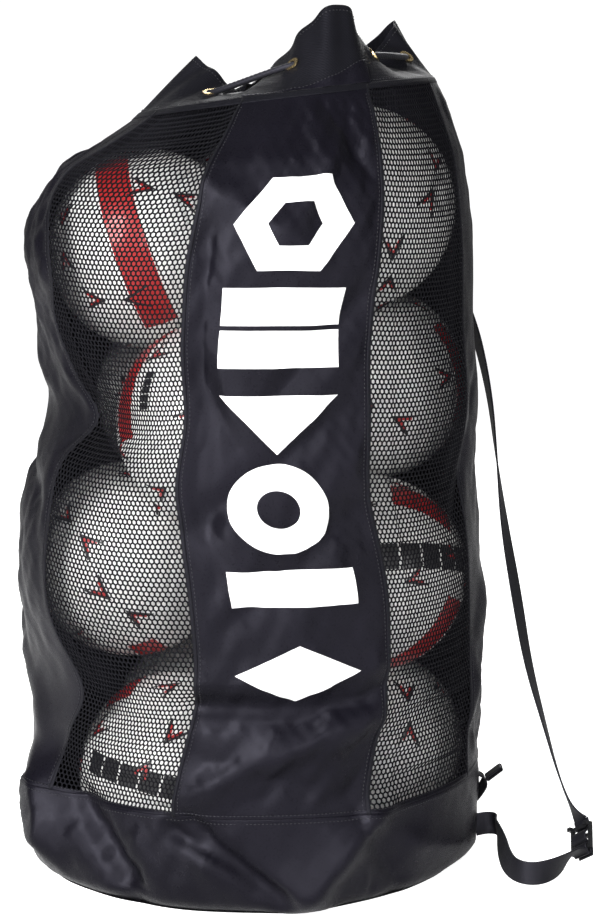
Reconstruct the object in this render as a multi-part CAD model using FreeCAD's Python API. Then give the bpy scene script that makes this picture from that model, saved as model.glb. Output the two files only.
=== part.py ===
"""Mesh ball bag: a tall sack of nylon and net panels, drawn shut over twelve footballs.

Millimetres, +Z up. The origin is the middle of the flat base, on the floor, and -Y is the printed
front. Every cloth piece is a thin closed shell that follows one set of body sections.
"""
import FreeCAD, Part
import math
import os

from FreeCAD import Vector

# Driving dimensions
CLOTH = 2.4                 # thickness that stands for coated nylon or net
BALL_RADIUS = 110.0         # size 5 football
BALL_WALL = 3.0
BASE_THICKNESS = 2.4
CUP_TOP = 106.0             # height of the solid base cup
CUP_SEAM_TOP = 112.0
BODY_TOP = 850.0            # where the body panels meet the collar seam
COLLAR_BOTTOM = 856.0       # top of the collar seam, where the collar starts
PANEL_STEP = 37.0           # height between the sections of a panel's loft
CUP_STEP = 13.0
SEAM_TURN = 1.3             # degrees of the circle that a vertical seam tape covers
SEAM_GAP = 0.12             # degrees left free between neighbouring panels
WEBBING_WIDTH = 25.0
WEBBING_THICKNESS = 2.2
CORD_DIAMETER = 7.0
EYELET_HOLE = 4.4           # radius of the eyelet's bore
EYELET_BARREL = 5.4
EYELET_FLANGE = 8.2
EYELET_LIP = 1.2

# Body sections: height, centre x, centre y, half width, half depth, slope of the section along x
SECTIONS = [
    (0.0, 0.0, 0.0, 240.0, 240.0, 0.0),
    (14.0, 0.0, 0.0, 256.0, 252.0, 0.0),
    (48.0, 2.0, 0.0, 262.0, 257.0, 0.0),
    (CUP_TOP, 6.0, 2.0, 257.0, 257.0, 0.0),
    (CUP_SEAM_TOP, 6.0, 2.0, 257.0, 257.0, 0.0),
    (215.0, 8.0, 4.0, 255.0, 256.0, 0.0),
    (330.0, -1.0, 6.0, 263.0, 263.0, 0.0),
    (440.0, 2.0, 4.0, 253.0, 262.0, 0.0),
    (525.0, 16.0, 0.0, 241.0, 259.0, 0.0),
    (610.0, 8.0, 0.0, 243.0, 258.0, 0.0),
    (700.0, 0.0, 2.0, 249.0, 260.0, 0.0),
    (780.0, 13.0, 2.0, 225.0, 240.0, 0.04),
    (815.0, 26.0, 2.0, 198.0, 210.0, 0.08),
    (BODY_TOP, 40.0, 0.0, 168.0, 172.0, 0.12),
    (COLLAR_BOTTOM, 42.0, 0.0, 163.0, 166.0, 0.12),
]
# Upright seams in order round the body, in degrees from +X towards +Y, and the panel after each
UPRIGHTS = [
    ("seam_front_left", -105.0, "front_panel"), ("seam_front_right", -59.0, "net_right"),
    ("seam_side_right", -22.0, "side_panel_right"), ("seam_back_right", 42.0, "back_panel"),
    ("seam_back_left", 150.0, "side_panel_left"), ("seam_side_left", 214.0, "net_left"),
]

# Collar lobes: azimuth of the crest in degrees, and how far it stands up
LOBES = [(-169.0, 0.74), (-68.0, 1.14), (15.0, 0.86), (108.0, 0.22)]
LOBE_SPREAD = 27.0
COLLAR_CENTRE = (50.0, 2.0)
COLLAR_VALLEY_RADIUS = 74.0
COLLAR_LOBE_RADIUS = 122.0
COLLAR_VALLEY_TOP = 868.0
COLLAR_LOBE_RISE = 64.0
COLLAR_SLOPE = 0.14
# Azimuths of the eyelets in order round the collar, one on each flank of a lobe
EYELET_TURNS = [-190.0, -136.0, -89.0, -47.0, -4.0, 36.0, 87.0, 129.0]
EYELET_UP = 0.55            # share of the way from the collar seam to its top edge
# Where the two free tails of the drawcord lie on the shoulder of the bag, from the knot
TAIL_STEPS = [
    [Vector(-16, 8, -5), Vector(-39, 14, -22), Vector(-64, 21, -41), Vector(-84, 28, -57)],
    [Vector(-11, 15, -6), Vector(-28, 33, -22), Vector(-47, 48, -40), Vector(-62, 60, -54)],
]

# Ball centres, bottom layer first. Each layer of three nests in the one below.
BALL_PLACES = [
    (-78, -98, 114), (136, 13, 114), (-56, 123, 114),
    (-133, -31, 341), (135, -46, 327), (28, 150, 318),
    (-30, -134, 508), (138, 36, 532), (-72, 98, 510),
    (-110, -30, 688), (117, -60, 735), (26, 143, 714),
]

# Shoulder strap: centre lines from the upper tab to the buckle and from the lower tab to the buckle
STRAP_TOP = Vector(134.0, 184.0, 838.0)
STRAP_BOTTOM = Vector(281.0, -56.0, 34.0)
BUCKLE_CENTRE = Vector(374.0, -83.0, 30.0)
BUCKLE_BARS = Vector(-0.52, 0.68, -0.52)
UPPER_ROUTE = [
    STRAP_TOP, Vector(166, 202, 770), Vector(212, 176, 692), Vector(258, 116, 606),
    Vector(278, 84, 522), Vector(286, 60, 440), Vector(294, 42, 366), Vector(307, 20, 288),
    Vector(319, 0, 212), Vector(337, -24, 144), Vector(351, -46, 92), Vector(366, -66, 55),
]
# Direction in which the webbing's width points at each of those, degrees from +X towards +Y
UPPER_TURNS = [142.0, 138.0, 126.0, 112.0, 100.0, 88.0, 64.0, 50.0, 52.0, 76.0, 98.0, 122.0]
LOWER_ROUTE = [
    STRAP_BOTTOM, Vector(284, -86, 23), Vector(286, -119, 15.5), Vector(294, -146, 13.5),
    Vector(312, -157, 13.5), Vector(333, -145, 14), Vector(352, -122, 16), Vector(366, -98, 21),
]
STRAP_GAP = 2.0             # room between a swinging end and what it is sewn to
BUCKLE_GAP = 5.0            # room between the buckle's frame and the webbing beside it
TOP_GAP = 8.5               # the same at the upper tab, where the webbing leaves at a slant
TOP_TAB_AZIMUTH = 62.0
TOP_TAB_HEIGHT = 846.0
BOTTOM_TAB_AZIMUTH = -11.0
BUCKLE_LENGTH = 30.0
BUCKLE_THICKNESS = 4.0
BUCKLE_RAIL = 4.0
BUCKLE_BAR = 4.4

# Grab loop on the side, above the base cup
LOOP_AZIMUTH = -6.0
LOOP_HEIGHT = 84.0
LOOP_REACH = 26.0
LOOP_WIDTH = 20.0
LOOP_RADIUS = 8.0
LOOP_CLEAR = 2.0            # room between the loop and the cup
LOOP_RISE = 38.0            # degrees that the loop tips up from level at rest


def section(height):
    """The body section at a height, on a smooth cubic between the two listed ones beside it."""
    index = max(i for i, s in enumerate(SECTIONS[:-1]) if s[0] <= height)
    low, high = SECTIONS[index], SECTIONS[index + 1]
    before, after = SECTIONS[max(index - 1, 0)], SECTIONS[min(index + 2, len(SECTIONS) - 1)]
    step = high[0] - low[0]
    t = (height - low[0]) / step
    made = [height]
    for k in range(1, len(low)):
        slope_low = (high[k] - before[k]) / (high[0] - before[0]) * step
        slope_high = (after[k] - low[k]) / (after[0] - low[0]) * step
        rise = high[k] - low[k]
        bend = (slope_low + slope_high - 2.0 * rise) * t + 3.0 * rise - 2.0 * slope_low - slope_high
        made.append(low[k] + t * (slope_low + t * bend))
    return made


def sections_between(low, high, spacing):
    """Body sections evenly spaced between two heights."""
    count = max(1, round((high - low) / spacing))
    return [section(low + (high - low) * i / count) for i in range(count + 1)]


def body_point(profile, azimuth, inset=0.0):
    """A point of the body's skin, inset towards its middle."""
    height, centre_x, centre_y, half_width, half_depth, slope = profile
    turn = math.radians(azimuth)
    x = (half_width - inset) * math.cos(turn)
    y = (half_depth - inset) * math.sin(turn)
    return Vector(centre_x + x, centre_y + y, height + slope * x)


def spline(points, closed=False):
    """An edge through the points."""
    curve = Part.BSplineCurve()
    curve.interpolate(Points=points, PeriodicFlag=closed)
    return curve.toShape()


def ring(profile, inset=0.0, count=32):
    """A closed wire round the body at one section."""
    points = [body_point(profile, 360.0 * i / count, inset) for i in range(count)]
    return Part.Wire([spline(points, closed=True)])


def hoop(profiles, inset=0.0):
    """A closed band of cloth all round the body through the sections."""
    outer = Part.makeLoft([ring(p, inset) for p in profiles], True, False)
    inner = Part.makeLoft([ring(p, inset + CLOTH) for p in profiles], True, False)
    return outer.cut(inner)


def panel_wire(profile, start, end):
    """One section of a panel: an outer edge, an inner edge and the two short ends."""
    count = max(4, int(abs(end - start) / 12.0) + 2)
    turns = [start + (end - start) * i / (count - 1.0) for i in range(count)]
    outer = [body_point(profile, t) for t in turns]
    inner = [body_point(profile, t, CLOTH) for t in turns]
    edges = [spline(outer), Part.makeLine(outer[-1], inner[-1])]
    edges += [spline(inner[::-1]), Part.makeLine(inner[0], outer[0])]
    return Part.Wire(edges)


def panel(start, end):
    """An upright panel of the body between two azimuths, from the cup seam to the collar seam."""
    profiles = sections_between(CUP_SEAM_TOP, BODY_TOP, PANEL_STEP)
    wires = [panel_wire(p, start + SEAM_GAP, end - SEAM_GAP) for p in profiles]
    return Part.makeLoft(wires, True, False)


def body_panels():
    """The six panels and the six seam tapes between them, in order round the body."""
    half = SEAM_TURN / 2.0
    made = {}
    for i, (seam, turn, name) in enumerate(UPRIGHTS):
        end = UPRIGHTS[(i + 1) % len(UPRIGHTS)][1]
        if end < turn:
            end += 360.0
        made[name] = panel(turn + half, end - half)
        made[seam] = panel(turn - half, turn + half)
    return made


def base():
    """The flat round base and the solid cup that stands up from it."""
    floor = sections_between(0.0, BASE_THICKNESS, BASE_THICKNESS)
    disc = Part.makeLoft([ring(p, CLOTH + 0.1) for p in floor], True, True)
    cup = hoop(sections_between(0.0, CUP_TOP, CUP_STEP))
    cup_seam = hoop(sections_between(CUP_TOP, CUP_SEAM_TOP, CUP_STEP))
    return {"base_disc": disc, "base_cup": cup, "cup_seam": cup_seam}


def bump(azimuth):
    """How far the collar stands up in a direction: about 1 on a crest, near 0 in a valley."""
    total = 0.0
    for lobe, rise in LOBES:
        away = (azimuth - lobe + 180.0) % 360.0 - 180.0
        total += rise * math.exp(-(away / LOBE_SPREAD) ** 2)
    return total


def collar_skin(azimuth, share):
    """A point of the collar's outside, share of the way from its seam to its top edge."""
    low = body_point(SECTIONS[-1], azimuth)
    crest = bump(azimuth)
    turn = math.radians(azimuth)
    radius = COLLAR_VALLEY_RADIUS + (COLLAR_LOBE_RADIUS - COLLAR_VALLEY_RADIUS) * crest
    x = radius * math.cos(turn)
    y = radius * math.sin(turn)
    height = COLLAR_VALLEY_TOP + COLLAR_LOBE_RISE * crest + COLLAR_SLOPE * x
    high = Vector(COLLAR_CENTRE[0] + x, COLLAR_CENTRE[1] + y, height)
    return low + (high - low) * share


def collar_normal(azimuth, share):
    """The collar's outward direction at a point."""
    round_step = collar_skin(azimuth + 1.0, share) - collar_skin(azimuth - 1.0, share)
    up_step = collar_skin(azimuth, share + 0.05) - collar_skin(azimuth, share - 0.05)
    return round_step.cross(up_step).normalize()


def collar_edge(share, inset):
    """A closed edge round the collar, inset into the cloth's thickness."""
    count = 60
    turns = [360.0 * i / count for i in range(count)]
    points = [collar_skin(t, share) - collar_normal(t, share) * inset for t in turns]
    return spline(points, closed=True)


def eyelet_places():
    """The centre and outward normal of each eyelet, in order round the collar."""
    places = []
    for azimuth in EYELET_TURNS:
        normal = collar_normal(azimuth, EYELET_UP)
        places.append((collar_skin(azimuth, EYELET_UP) - normal * (CLOTH / 2.0), normal))
    return places


def collar():
    """The gathered collar with its eyelet holes, and the seam band below it."""
    edges = [collar_edge(0.0, 0.0), collar_edge(1.0, 0.0), collar_edge(1.0, CLOTH), collar_edge(0.0, CLOTH)]
    faces = [Part.makeRuledSurface(a, b) for a, b in zip(edges, edges[1:] + edges[:1])]
    band = Part.makeSolid(Part.makeShell(faces))
    if band.Volume < 0:
        band.reverse()
    reach = 3.0 * CLOTH
    for middle, normal in eyelet_places():
        hole = Part.makeCylinder(EYELET_BARREL, 2.0 * reach, middle - normal * reach, normal)
        band = band.cut(hole)
    seam = hoop(sections_between(BODY_TOP, COLLAR_BOTTOM, CUP_STEP))
    return {"collar": band, "collar_seam": seam}


def washer(middle, normal, outer, thickness):
    """A flat ring round the eyelet's bore."""
    solid = Part.makeCylinder(outer, thickness, middle, normal)
    return solid.cut(Part.makeCylinder(EYELET_HOLE, thickness, middle, normal))


def eyelets():
    """Brass eyelets with a barrel through the cloth, and the washers that close them inside."""
    fronts = []
    backs = []
    half = CLOTH / 2.0
    for middle, normal in eyelet_places():
        barrel = washer(middle - normal * half, normal, EYELET_BARREL, CLOTH)
        lip = washer(middle + normal * half, normal, EYELET_FLANGE, EYELET_LIP)
        fronts.append(barrel.fuse(lip).removeSplitter())
        under = middle - normal * (half + EYELET_LIP)
        backs.append(washer(under, normal, EYELET_FLANGE, EYELET_LIP))
    return {"eyelets": Part.makeCompound(fronts), "eyelet_washers": Part.makeCompound(backs)}


def rounded_path(route, name):
    """Straight runs joined by arcs as large as each pair of runs allows. Prints the radii."""
    edges = []
    radii = []
    last = route[0]
    for before, corner, after in zip(route, route[1:], route[2:]):
        back = (before - corner)
        ahead = (after - corner)
        turn = math.pi - back.getAngle(ahead)
        reach = 0.45 * min(back.Length, ahead.Length)
        radii.append(reach / math.tan(turn / 2.0))
        start = corner + back.normalize() * reach
        end = corner + ahead.normalize() * reach
        inward = (back + ahead).normalize()
        middle = corner + inward * (radii[-1] / math.cos(turn / 2.0) - radii[-1])
        edges.append(Part.makeLine(last, start))
        edges.append(Part.Arc(start, middle, end).toShape())
        last = end
    edges.append(Part.makeLine(last, route[-1]))
    print(name, "radii", " ".join("%.0f" % r for r in radii))
    return edges


def round_cord(route, name, diameter=CORD_DIAMETER):
    """A round cord along the route."""
    path = Part.Wire(rounded_path(route, name))
    start = path.Edges[0]
    circle = Part.makeCircle(diameter / 2.0, route[0], start.tangentAt(start.FirstParameter))
    solid = path.makePipeShell([Part.Wire([circle])], True, False)
    area = math.pi * diameter ** 2 / 4.0
    print(name, "length %.0f, volume against section %.4f" % (path.Length, solid.Volume / (area * path.Length)))
    return solid


def cord_route():
    """Round the collar, straight through each eyelet: out across a valley, in across a lobe."""
    places = [middle for middle, normal in eyelet_places()]
    count = len(places)
    route = []
    for i in range(count):
        along = (places[(i + 1) % count] - places[i - 1]).normalize()
        route += [places[i] - along * 12.0, places[i] + along * 12.0]
    knot = (places[0] + places[-1]) * 0.5 + Vector(-18.0, 16.0, 6.0)
    return [knot] + route + [knot]


def drawcord():
    """The cord through the eyelets, the knot that joins its ends, and the two short tails."""
    route = cord_route()
    knot = route[0]
    ball = Part.makeSphere(9.0, knot)
    tails = [round_cord([knot] + [knot + step for step in steps], "cord tail").cut(ball) for steps in TAIL_STEPS]
    return {
        "drawcord": round_cord(route, "drawcord").cut(ball),
        "cord_knot": ball,
        "cord_tails": Part.makeCompound(tails),
    }


def balls():
    """The footballs, each a hollow shell."""
    made = {}
    for number, place in enumerate(BALL_PLACES, 1):
        outer = Part.makeSphere(BALL_RADIUS, Vector(*place))
        inner = Part.makeSphere(BALL_RADIUS - BALL_WALL, Vector(*place))
        made["ball_%02d" % number] = outer.cut(inner)
    return made


def swing_axis():
    """The line through the strap's two ends, about which the whole strap swings."""
    return (STRAP_TOP - STRAP_BOTTOM).normalize()


def buckle_axes():
    """Webbing direction, bar direction and normal of the ladder lock."""
    bars = Vector(BUCKLE_BARS).normalize()
    along = UPPER_ROUTE[-1] - LOWER_ROUTE[-1]
    along = (along - bars * bars.dot(along)).normalize()
    return along, bars, along.cross(bars)


def across_path(width, forward):
    """The width direction turned to be square to the way the webbing runs."""
    return (width - forward * width.dot(forward)).normalize()


def ribbon(route, widths, name):
    """Flat webbing along the route, its width turning from one point's direction to the next."""
    edges = rounded_path(route, name)
    path = Part.Wire(edges)
    steps = [(0.0, edges[0], edges[0].FirstParameter)]
    for corner in range(1, len(route) - 1):
        arc = edges[2 * corner - 1]
        for i in range(5):
            at = arc.FirstParameter + (arc.LastParameter - arc.FirstParameter) * i / 4.0
            steps.append((corner - 0.45 + 0.9 * i / 4.0, arc, at))
    steps.append((len(route) - 1.0, edges[-1], edges[-1].LastParameter))
    wires = []
    for place, edge, at in steps:
        low = min(int(place), len(widths) - 2)
        width = widths[low] * (low + 1.0 - place) + widths[low + 1] * (place - low)
        forward = edge.tangentAt(at)
        across = across_path(width, forward) * (WEBBING_WIDTH / 2.0)
        face = forward.cross(across).normalize() * (WEBBING_THICKNESS / 2.0)
        middle = edge.valueAt(at)
        corners = [middle + across + face, middle - across + face]
        corners += [middle - across - face, middle + across - face]
        wires.append(Part.makePolygon(corners + corners[:1]))
    solid = Part.makeLoft(wires, True, True)
    section_area = WEBBING_WIDTH * WEBBING_THICKNESS
    share = solid.Volume / (section_area * path.Length)
    print(name, "length %.0f, volume against section %.4f" % (path.Length, share))
    return solid


def block(centre, along, across, normal, length, width, thickness):
    """A plain block centred on a point, along three directions."""
    corner = centre - along * (length / 2.0) - across * (width / 2.0)
    face = [corner, corner + along * length, corner + along * length + across * width, corner + across * width]
    face = [p - normal * (thickness / 2.0) for p in face]
    return Part.Face(Part.makePolygon(face + face[:1])).extrude(normal * thickness)


def buckle():
    """A ladder lock: side rails, three bars, and two teeth that stand out at the upper end."""
    along, bars, normal = buckle_axes()
    width = WEBBING_WIDTH + 2.0 * BUCKLE_RAIL + 2.0
    frame = block(BUCKLE_CENTRE, along, bars, normal, BUCKLE_LENGTH, width, BUCKLE_THICKNESS)
    window = (BUCKLE_LENGTH - 3.0 * BUCKLE_BAR) / 2.0
    shift = (window + BUCKLE_BAR) / 2.0
    for side in (-1.0, 1.0):
        centre = BUCKLE_CENTRE + along * (side * shift)
        gap = block(centre, along, bars, normal, window, WEBBING_WIDTH + 2.0, 3.0 * BUCKLE_THICKNESS)
        frame = frame.cut(gap)
    edge = (BUCKLE_LENGTH - BUCKLE_BAR) / 2.0
    for side in (-1.0, 1.0):
        root = BUCKLE_CENTRE + along * edge + bars * (side * (width / 2.0 - 3.0))
        tooth = block(root + normal * 3.5, along, bars, normal, BUCKLE_BAR, 5.0, 8.0)
        frame = frame.fuse(tooth)
    return frame.removeSplitter()


def strap_tab(root, end, width, gap):
    """A sewn tab from inside the body's skin to just short of the swinging strap's end."""
    outward = end - root
    length = outward.Length - gap
    outward = outward.normalize()
    across = across_path(width, outward)
    centre = root + outward * (length / 2.0)
    tab = block(centre, outward, across, outward.cross(across), length, WEBBING_WIDTH, WEBBING_THICKNESS)
    return tab.cut(solid_body())


def solid_body():
    """The whole body filled in, to trim what is sewn on from outside."""
    return Part.makeLoft([ring(p) for p in sections_between(0.0, BODY_TOP, PANEL_STEP)], True, False)


def strap():
    """The shoulder strap in two lengths of webbing, its buckle and its two sewn tabs."""
    along, bars, normal = buckle_axes()
    edge = BUCKLE_LENGTH / 2.0 + BUCKLE_GAP
    turns = [math.radians(t) for t in UPPER_TURNS]
    upper_widths = [Vector(math.cos(t), math.sin(t), 0.0) for t in turns] + [bars]
    lower_widths = [swing_axis()] * 5 + [swing_axis() - bars * 0.3, swing_axis() - bars, -bars, -bars]
    upper_end = BUCKLE_CENTRE + along * edge
    lower_end = BUCKLE_CENTRE - along * edge
    top_root = body_point(section(TOP_TAB_HEIGHT), TOP_TAB_AZIMUTH, CLOTH)
    bottom_root = body_point(section(STRAP_BOTTOM.z), BOTTOM_TAB_AZIMUTH, CLOTH)
    return {
        "strap_upper": ribbon(UPPER_ROUTE + [upper_end], upper_widths, "strap_upper"),
        "strap_lower": ribbon(LOWER_ROUTE + [lower_end], lower_widths, "strap_lower"),
        "ladder_lock": buckle(),
        "strap_tab_top": strap_tab(top_root, STRAP_TOP, upper_widths[0], TOP_GAP),
        "strap_tab_bottom": strap_tab(bottom_root, STRAP_BOTTOM, swing_axis(), STRAP_GAP),
    }


def stadium(start, end, side, radius):
    """A solid slot shape round two parallel centres, as wide as the loop's webbing."""
    ends = [Part.makeCylinder(radius, LOOP_WIDTH, p - side * (LOOP_WIDTH / 2.0), side) for p in (start, end)]
    line = end - start
    middle = start + line * 0.5
    web = block(middle, line.normalize(), side, line.cross(side), (end - start).Length, LOOP_WIDTH, 2.0 * radius)
    return ends[0].fuse(ends[1]).fuse(web).removeSplitter()


def grab_loop():
    """A folded webbing loop that hinges where it is sewn to the side of the cup."""
    out = Vector(1, 0, 0)
    side = Vector(0, 1, 0)
    rise = math.radians(LOOP_RISE)
    hinge = body_point(section(LOOP_HEIGHT), LOOP_AZIMUTH) + out * (LOOP_RADIUS + LOOP_CLEAR)
    tip = hinge + Vector(math.cos(rise), 0.0, math.sin(rise)) * (LOOP_REACH - LOOP_RADIUS)
    outside = stadium(hinge, tip, side, LOOP_RADIUS)
    print("grab loop hinge", hinge, "tip", tip)
    return {"grab_loop": outside.cut(stadium(hinge, tip, side, LOOP_RADIUS - WEBBING_THICKNESS))}


def main():
    """Writes one STEP file for each node."""
    os.makedirs("parts", exist_ok=True)
    nodes = {}
    for made in (base(), body_panels(), collar(), eyelets(), drawcord(), balls(), strap(), grab_loop()):
        nodes.update(made)
    for name, shape in nodes.items():
        shape.exportStep("parts/%s.step" % name)
        if not shape.isValid():
            print("not valid:", name)
    print(len(nodes), "nodes")


main()
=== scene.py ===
"""Looks of the mesh ball bag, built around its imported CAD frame.

The body is one skin, a grid over azimuth and height. It starts on the CAD's body sections and is
relaxed as cloth over the twelve balls. Panels, nets, seams and print are all cut from that skin.
"""

from contextlib import contextmanager
import math

import bmesh
import bpy
import numpy as np
from mathutils import Matrix, Vector


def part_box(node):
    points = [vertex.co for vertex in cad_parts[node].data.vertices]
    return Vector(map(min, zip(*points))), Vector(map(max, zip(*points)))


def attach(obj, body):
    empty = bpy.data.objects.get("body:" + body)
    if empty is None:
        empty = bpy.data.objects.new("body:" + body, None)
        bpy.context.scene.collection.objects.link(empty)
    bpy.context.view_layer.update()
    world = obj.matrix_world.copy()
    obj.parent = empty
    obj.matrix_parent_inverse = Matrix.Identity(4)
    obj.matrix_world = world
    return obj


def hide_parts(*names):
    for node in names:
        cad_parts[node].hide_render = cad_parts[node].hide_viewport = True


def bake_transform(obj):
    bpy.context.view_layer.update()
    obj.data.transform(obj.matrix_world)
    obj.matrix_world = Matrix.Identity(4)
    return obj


MM = 0.001
BODY_RADIUS = 0.255                     # about how far the skin is from the bag's middle
ARC = math.radians(1.0) * BODY_RADIUS   # metres round the body for each degree

# ---------------------------------------------------------------- what part.py's solids follow
# Body sections: height, centre x, centre y, half width, half depth, slope of the section along x
SECTIONS = [
    (0, 0, 0, 240, 240, 0.0), (14, 0, 0, 256, 252, 0.0), (48, 2, 0, 262, 257, 0.0),
    (106, 6, 2, 257, 257, 0.0), (112, 6, 2, 257, 257, 0.0), (215, 8, 4, 255, 256, 0.0),
    (330, -1, 6, 263, 263, 0.0), (440, 2, 4, 253, 262, 0.0), (525, 16, 0, 241, 259, 0.0),
    (610, 8, 0, 243, 258, 0.0), (700, 0, 2, 249, 260, 0.0), (780, 13, 2, 225, 240, 0.04),
    (815, 26, 2, 198, 210, 0.08), (850, 40, 0, 168, 172, 0.12), (856, 42, 0, 163, 166, 0.12),
]
CUP_TOP = 0.106
CUP_SEAM_TOP = 0.112
CUP_LINE = 0.1085           # where panels and cup meet, under the seam tape
BODY_TOP = 0.850
COLLAR_BOTTOM = 0.856
# Upright seams in order round the body, in degrees, and the panel after each
UPRIGHTS = [
    ("seam_front_left", -105.0, "front_panel"), ("seam_front_right", -59.0, "net_right"),
    ("seam_side_right", -22.0, "side_panel_right"), ("seam_back_right", 42.0, "back_panel"),
    ("seam_back_left", 150.0, "side_panel_left"), ("seam_side_left", 214.0, "net_left"),
]
# Collar lobes: azimuth of the crest, and how far it stands up
LOBES = [(-169.0, 0.74), (-68.0, 1.14), (15.0, 0.86), (108.0, 0.22)]
LOBE_SPREAD = 27.0
COLLAR_CENTRE = (0.050, 0.002)
COLLAR_VALLEY_RADIUS = 0.074
COLLAR_LOBE_RADIUS = 0.122
COLLAR_VALLEY_TOP = 0.868
COLLAR_LOBE_RISE = 0.064
COLLAR_SLOPE = 0.14
EYELET_TURNS = [-190.0, -136.0, -89.0, -47.0, -4.0, 36.0, 87.0, 129.0]
EYELET_UP = 0.55
BALL_RADIUS = 0.110
BALL_PLACES = [
    (-78, -98, 114), (136, 13, 114), (-56, 123, 114), (-133, -31, 341), (135, -46, 327), (28, 150, 318),
    (-30, -134, 508), (138, 36, 532), (-72, 98, 510), (-110, -30, 688), (117, -60, 735), (26, 143, 714),
]
WEBBING_WIDTH = 0.025
WEBBING_THICKNESS = 0.0022
CORD_DIAMETER = 0.007
LOOP_WEBBING = 0.018        # the grab loop's width
BUCKLE_CENTRE = (374, -83, 30)
BUCKLE_BARS = (-0.52, 0.68, -0.52)
BUCKLE_END = 20.0           # from the buckle's centre to the end of the webbing beside it, mm
STRAP_TOP = (134, 184, 838)
STRAP_BOTTOM = (281, -56, 34)
UPPER_ROUTE = [
    STRAP_TOP, (166, 202, 770), (212, 176, 692), (258, 116, 606), (278, 84, 522), (286, 60, 440),
    (294, 42, 366), (307, 20, 288), (319, 0, 212), (337, -24, 144), (351, -46, 92), (366, -66, 55),
]
# Which way the webbing's width points at each point of the upper route, in degrees from +X
UPPER_TURNS = [142, 138, 126, 112, 100, 88, 66, 58, 66, 80, 88, 94]
LOWER_ROUTE = [
    STRAP_BOTTOM, (284, -86, 23), (286, -119, 15.5), (294, -146, 13.5), (312, -157, 13.5),
    (333, -145, 14), (352, -122, 16), (366, -98, 21),
]
# The webbing's way through the buckle, in mm along it and out of its face
LOCK_UPPER = [
    (21.5, 0), (18, 0), (15, -4), (12, -4.4), (9, -3.4), (5, 3.4), (2, 4.6), (-2, 4.6), (-5, 3.4),
    (-8, -3.4), (-12, -5.6), (-17, -6.0), (-22, -5.4),
]
LOCK_LOWER = [
    (-21.5, 0), (-18, 0.6), (-15, 3.6), (-12, 4.4), (-10, 3.4), (-9, 0), (-10, -3), (-13, -3.6),
    (-17, -3.2), (-20, -3),
]
TAIL_STEPS = [
    [(-16, 8, -5), (-39, 14, -22), (-64, 21, -41), (-84, 28, -57)],
    [(-11, 15, -6), (-28, 33, -22), (-47, 48, -40), (-62, 60, -54)],
]

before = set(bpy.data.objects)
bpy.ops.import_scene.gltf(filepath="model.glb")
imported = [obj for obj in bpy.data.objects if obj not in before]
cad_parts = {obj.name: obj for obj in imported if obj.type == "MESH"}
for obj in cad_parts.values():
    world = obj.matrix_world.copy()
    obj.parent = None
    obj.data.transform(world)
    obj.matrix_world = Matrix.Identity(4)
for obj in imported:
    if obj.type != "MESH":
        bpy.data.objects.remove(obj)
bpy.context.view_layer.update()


# ---------------------------------------------------------------- small tools
def unit(v):
    """Vectors scaled to length one, along the last axis."""
    v = np.asarray(v, float)
    return v / np.maximum(np.linalg.norm(v, axis=-1, keepdims=True), 1e-12)


def metres(points):
    """Points given in millimetres, in metres."""
    return np.array(points, float) * MM


def link(name, data):
    """A new object in the scene."""
    obj = bpy.data.objects.new(name, data)
    bpy.context.scene.collection.objects.link(obj)
    return obj


def new_object(name, verts, faces, material, body="bag", slot=None):
    """A smooth mesh object from its points and faces, on its body; its slot is not used."""
    mesh = bpy.data.meshes.new(name)
    faces = faces if isinstance(faces, list) else faces.tolist()
    mesh.from_pydata(np.asarray(verts, float).reshape(-1, 3).tolist(), [], faces)
    mesh.validate()
    mesh.polygons.foreach_set("use_smooth", [True] * len(mesh.polygons))
    mesh.materials.append(material)
    obj = link(name, mesh)
    if body:
        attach(obj, body)
    return obj


def grid_faces(rows, columns, wrap=False):
    """Quads of a grid of rows by columns of vertices, closed round the columns if wrap."""
    across = columns if wrap else columns - 1
    r, c = np.meshgrid(np.arange(rows - 1), np.arange(across), indexing="ij")
    low, after = r * columns, (c + 1) % columns
    high = low + columns
    return np.stack([low + c, low + after, high + after, high + c], -1).reshape(-1, 4)


def joined(patches):
    """Patches of points and faces as one patch."""
    verts, faces, count = [], [], 0
    for points, quads in patches:
        verts.append(points)
        faces.append(quads + count)
        count += len(points)
    return np.concatenate(verts), np.concatenate(faces)


@contextmanager
def editing(mesh):
    """A mesh opened for edits, and written back after them."""
    made = bmesh.new()
    made.from_mesh(mesh)
    yield made
    made.to_mesh(mesh)
    made.free()


def apart(turn, middle):
    """Degrees from one azimuth to others, from -180 to 180."""
    return (turn - middle + 180.0) % 360.0 - 180.0


def add_modifier(obj, kind, **settings):
    """A modifier with its settings."""
    made = obj.modifiers.new(kind.title(), kind)
    for key, value in settings.items():
        setattr(made, key, value)


def solidify(obj, thickness):
    """Gives a cloth mesh its thickness, inwards from its outside."""
    add_modifier(obj, "SOLIDIFY", thickness=thickness, offset=-1.0)


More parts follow.
